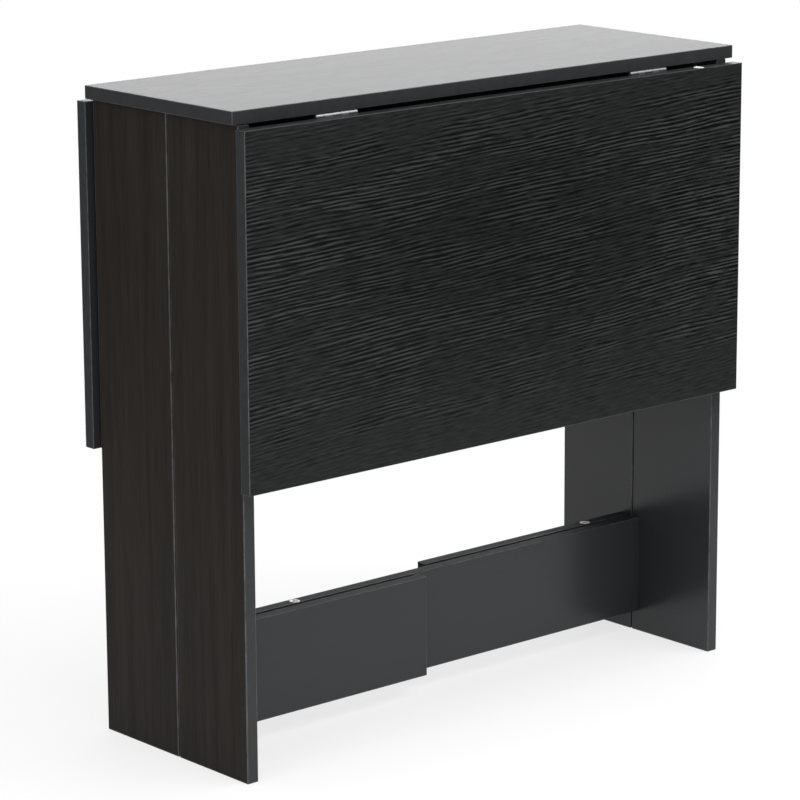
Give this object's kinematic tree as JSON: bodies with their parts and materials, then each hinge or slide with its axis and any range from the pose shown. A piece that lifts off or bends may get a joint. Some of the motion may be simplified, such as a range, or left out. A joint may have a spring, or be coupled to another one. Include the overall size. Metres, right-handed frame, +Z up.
{
  "type": "drop-leaf table",
  "caption": "Narrow folding table with hanging drop leaves on butt hinges and split end panels, half of each swinging out as a gate leg on rails hinged at mid-length.",
  "frame": {"origin": "on the floor, under the middle of the centre top", "axes": "+X along the length of the centre top, +Y across it from the front leaf to the rear leaf, +Z up"},
  "size_m": [0.75, 0.2936, 0.74],
  "materials": {
    "black_woodgrain_laminate": "embossed wood grain, satin",
    "brown_black_woodgrain_laminate": "fine upright wood grain, satin",
    "plain_charcoal_laminate": "smooth, satin",
    "zinc_plated_steel": "bright zinc",
    "beech_dowel": "bare, ribbed"
  },
  "bodies": {
    "frame": {"center_top": "black_woodgrain_laminate", "lower_center_rail": "plain_charcoal_laminate", "upper_center_rail": "plain_charcoal_laminate", "center_rail_cam_lock": "zinc_plated_steel", "front_right_fixed_panel": "brown_black_woodgrain_laminate", "rear_left_fixed_panel": "brown_black_woodgrain_laminate", "front_frame_lower_dowel": "beech_dowel", "front_frame_middle_dowel": "beech_dowel", "front_frame_upper_dowel": "beech_dowel", "rear_frame_lower_dowel": "beech_dowel", "rear_frame_middle_dowel": "beech_dowel", "rear_frame_upper_dowel": "beech_dowel", "front_panel_bracket_1": "zinc_plated_steel", "front_panel_bracket_2": "zinc_plated_steel", "rear_panel_bracket_1": "zinc_plated_steel", "rear_panel_bracket_2": "zinc_plated_steel", "front_leaf_hinge_1_top_plate": "zinc_plated_steel", "front_leaf_hinge_2_top_plate": "zinc_plated_steel", "rear_leaf_hinge_1_top_plate": "zinc_plated_steel", "rear_leaf_hinge_2_top_plate": "zinc_plated_steel", "front_leaf_hinge_1_pin": "zinc_plated_steel", "front_leaf_hinge_2_pin": "zinc_plated_steel", "rear_leaf_hinge_1_pin": "zinc_plated_steel", "rear_leaf_hinge_2_pin": "zinc_plated_steel", "front_gate_lower_hinge_rail_plate": "zinc_plated_steel", "front_gate_upper_hinge_rail_plate": "zinc_plated_steel", "rear_gate_lower_hinge_rail_plate": "zinc_plated_steel", "rear_gate_upper_hinge_rail_plate": "zinc_plated_steel", "front_gate_lower_hinge_pin": "zinc_plated_steel", "front_gate_upper_hinge_pin": "zinc_plated_steel", "rear_gate_lower_hinge_pin": "zinc_plated_steel", "rear_gate_upper_hinge_pin": "zinc_plated_steel"},
    "front_leaf": {"front_leaf": "black_woodgrain_laminate", "front_leaf_cam_lock": "zinc_plated_steel", "front_leaf_hinge_1_leaf_plate": "zinc_plated_steel", "front_leaf_hinge_2_leaf_plate": "zinc_plated_steel"},
    "rear_leaf": {"rear_leaf": "black_woodgrain_laminate", "rear_leaf_cam_lock": "zinc_plated_steel", "rear_leaf_hinge_1_leaf_plate": "zinc_plated_steel", "rear_leaf_hinge_2_leaf_plate": "zinc_plated_steel"},
    "front_gate": {"front_left_gate_panel": "brown_black_woodgrain_laminate", "front_gate_lower_rail": "plain_charcoal_laminate", "front_gate_upper_rail": "plain_charcoal_laminate", "front_gate_lower_hinge_gate_plate": "zinc_plated_steel", "front_gate_upper_hinge_gate_plate": "zinc_plated_steel", "front_gate_lower_dowel": "beech_dowel", "front_gate_middle_dowel": "beech_dowel", "front_gate_upper_dowel": "beech_dowel", "front_gate_cam_lock": "zinc_plated_steel"},
    "rear_gate": {"rear_right_gate_panel": "brown_black_woodgrain_laminate", "rear_gate_lower_rail": "plain_charcoal_laminate", "rear_gate_upper_rail": "plain_charcoal_laminate", "rear_gate_lower_hinge_gate_plate": "zinc_plated_steel", "rear_gate_upper_hinge_gate_plate": "zinc_plated_steel", "rear_gate_lower_dowel": "beech_dowel", "rear_gate_middle_dowel": "beech_dowel", "rear_gate_upper_dowel": "beech_dowel", "rear_gate_cam_lock": "zinc_plated_steel"}
  },
  "joints": [
    {"name": "front_leaf_hinge", "type": "hinge", "parent": "frame", "child": "front_leaf", "pos_m": [0, -0.129, 0.7222], "axis": [-1, 0, 0], "range_deg": [0, 90]},
    {"name": "rear_leaf_hinge", "type": "hinge", "parent": "frame", "child": "rear_leaf", "pos_m": [0, 0.129, 0.7222], "axis": [1, 0, 0], "range_deg": [0, 90]},
    {"name": "front_gate_swing", "type": "hinge", "parent": "frame", "child": "front_gate", "pos_m": [-0.0145, -0.01, 0], "axis": [0, 0, 1], "range_deg": [0, 0.5]},
    {"name": "rear_gate_swing", "type": "hinge", "parent": "frame", "child": "rear_gate", "pos_m": [0.0145, 0.01, 0], "axis": [0, 0, 1], "range_deg": [0, 0.5]}
  ]
}
